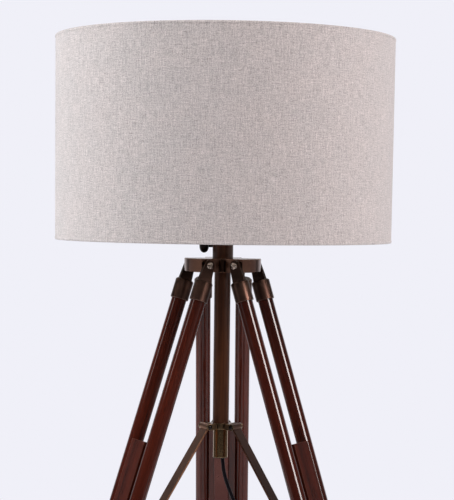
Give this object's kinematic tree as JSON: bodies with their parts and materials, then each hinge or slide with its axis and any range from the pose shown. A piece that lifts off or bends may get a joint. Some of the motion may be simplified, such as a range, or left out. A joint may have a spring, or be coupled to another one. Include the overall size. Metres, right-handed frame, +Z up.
{
  "type": "tripod floor lamp",
  "caption": "Floor lamp: linen drum shade on a sliding post, folding tripod of paired round wood rods with sliding extension bars, brass head, ferrules and strut spreader.",
  "frame": {"origin": "on the floor, under the middle of the head and the post's axis", "axes": "+Z up along the post; +Y towards the back leg; +X to the right of someone who looks from the front, with the knob of the post on the -X side"},
  "size_m": [0.7698, 0.6688, 1.4565],
  "materials": {
    "head_bronze": "antique bronze, semi-gloss",
    "ferrule_brass": "antique brass, brushed along its length",
    "strut_brass": "antique brass, dull",
    "knob_black": "blackened metal, satin",
    "lamp_brass": "bright brass",
    "rosewood": "dark red-brown, polished lacquer",
    "linen": "natural linen weave",
    "liner_white": "white laminate",
    "wire_white": "white enamel",
    "glass_frosted": "frosted lamp glass",
    "cap_silver": "bright lamp cap",
    "rubber_black": "black rubber",
    "cord_black": "black glossy sheath",
    "pin_brass": "bright plug pins"
  },
  "bodies": {
    "head": {"head_casting": "head_bronze", "head_sleeve": "head_bronze", "hinge_bolts": "ferrule_brass", "cord_tube": "cord_black", "cord_coil": "cord_black", "plug_body": "rubber_black", "plug_pins": "pin_brass"},
    "post_knob": {"post_knob": "knob_black"},
    "post": {"post_tube": "head_bronze", "post_end_tube": "strut_brass", "post_bush": "rubber_black", "post_lead": "cord_black", "spreader_collar": "strut_brass", "collar_pins": "knob_black", "harp_saddle": "lamp_brass", "harp": "lamp_brass", "finial": "lamp_brass", "lampholder_cap": "lamp_brass", "lampholder_shell": "lamp_brass", "lampholder_cup": "lamp_brass", "bulb_cap": "cap_silver", "bulb_glass": "glass_frosted", "shade_fabric": "linen", "shade_liner": "liner_white", "shade_spider": "wire_white", "shade_bottom_ring": "wire_white"},
    "switch": {"switch_key": "knob_black"},
    "leg_left": {"ferrule_left_a": "ferrule_brass", "ferrule_left_b": "ferrule_brass", "rod_left_a": "rosewood", "rod_left_b": "rosewood", "strut_bracket_left": "strut_brass", "clamp_left": "ferrule_brass"},
    "clamp_knob_left": {"clamp_knob_left": "knob_black"},
    "bar_left": {"bar_left": "rosewood", "shoe_left": "ferrule_brass", "foot_pad_left": "rubber_black"},
    "strut_left": {"strut_left": "strut_brass"},
    "leg_right": {"ferrule_right_a": "ferrule_brass", "ferrule_right_b": "ferrule_brass", "rod_right_a": "rosewood", "rod_right_b": "rosewood", "strut_bracket_right": "strut_brass", "clamp_right": "ferrule_brass"},
    "clamp_knob_right": {"clamp_knob_right": "knob_black"},
    "bar_right": {"bar_right": "rosewood", "shoe_right": "ferrule_brass", "foot_pad_right": "rubber_black"},
    "strut_right": {"strut_right": "strut_brass"},
    "leg_back": {"ferrule_back_a": "ferrule_brass", "ferrule_back_b": "ferrule_brass", "rod_back_a": "rosewood", "rod_back_b": "rosewood", "strut_bracket_back": "strut_brass", "clamp_back": "ferrule_brass"},
    "clamp_knob_back": {"clamp_knob_back": "knob_black"},
    "bar_back": {"bar_back": "rosewood", "shoe_back": "ferrule_brass", "foot_pad_back": "rubber_black"},
    "strut_back": {"strut_back": "strut_brass"}
  },
  "joints": [
    {"name": "fold_left", "type": "hinge", "parent": "head", "child": "leg_left", "pos_m": [-0.03118, -0.018, 1.145], "axis": [0.5, -0.866, 0], "range_deg": [0, 15.9]},
    {"name": "post_slide", "type": "slide", "parent": "head", "child": "post", "axis": [0, 0, 1], "range_m": [0, 0.0223]},
    {"name": "post_knob_turn", "type": "hinge", "parent": "head", "child": "post_knob", "pos_m": [0, 0, 1.171], "axis": [-1, 0, 0], "range_deg": [0, 360]},
    {"name": "switch_turn", "type": "hinge", "parent": "post", "child": "switch", "pos_m": [0, 0, 1.2175], "axis": [0, -1, 0], "continuous": true},
    {"name": "strut_left_turn", "type": "hinge", "parent": "post", "child": "strut_left", "pos_m": [-0.01992, -0.0115, 0.9267], "axis": [0.5, -0.866, 0], "range_deg": [0, 30.9]},
    {"name": "bar_left_slide", "type": "slide", "parent": "leg_left", "child": "bar_left", "axis": [-0.2734, -0.1578, -0.9489], "range_m": [-0.17, 0.38]},
    {"name": "clamp_left_turn", "type": "hinge", "parent": "leg_left", "child": "clamp_knob_left", "pos_m": [-0.25399, -0.14664, 0.40961], "axis": [-0.8218, -0.4744, 0.3156], "range_deg": [0, 360]},
    {"name": "fold_right", "type": "hinge", "parent": "head", "child": "leg_right", "pos_m": [0.03118, -0.018, 1.145], "axis": [0.5, 0.866, 0], "range_deg": [0, 16]},
    {"name": "strut_right_turn", "type": "hinge", "parent": "post", "child": "strut_right", "pos_m": [0.01992, -0.0115, 0.9267], "axis": [0.5, 0.866, 0], "range_deg": [0, 30.9]},
    {"name": "bar_right_slide", "type": "slide", "parent": "leg_right", "child": "bar_right", "axis": [0.2734, -0.1578, -0.9489], "range_m": [-0.17, 0.38]},
    {"name": "clamp_right_turn", "type": "hinge", "parent": "leg_right", "child": "clamp_knob_right", "pos_m": [0.25399, -0.14664, 0.40961], "axis": [0.8218, -0.4744, 0.3156], "range_deg": [0, 360]},
    {"name": "fold_back", "type": "hinge", "parent": "head", "child": "leg_back", "pos_m": [0, 0.036, 1.145], "axis": [-1, 0, 0], "range_deg": [0, 16]},
    {"name": "strut_back_turn", "type": "hinge", "parent": "post", "child": "strut_back", "pos_m": [0, 0.023, 0.9267], "axis": [-1, 0, 0], "range_deg": [0, 30.9]},
    {"name": "bar_back_slide", "type": "slide", "parent": "leg_back", "child": "bar_back", "axis": [0, 0.3156, -0.9489], "range_m": [-0.17, 0.38]},
    {"name": "clamp_back_turn", "type": "hinge", "parent": "leg_back", "child": "clamp_knob_back", "pos_m": [0, 0.29328, 0.40961], "axis": [0, 0.9489, 0.3156], "range_deg": [0, 360]}
  ],
  "couplings": [
    {"joint": "post_slide", "follows": "fold_left", "m_per_rad": 0.080012},
    {"joint": "strut_left_turn", "follows": "fold_left", "ratio": 1.938},
    {"joint": "fold_right", "follows": "fold_left", "ratio": 1},
    {"joint": "strut_right_turn", "follows": "fold_left", "ratio": 1.938},
    {"joint": "fold_back", "follows": "fold_left", "ratio": 1},
    {"joint": "strut_back_turn", "follows": "fold_left", "ratio": 1.938}
  ]
}
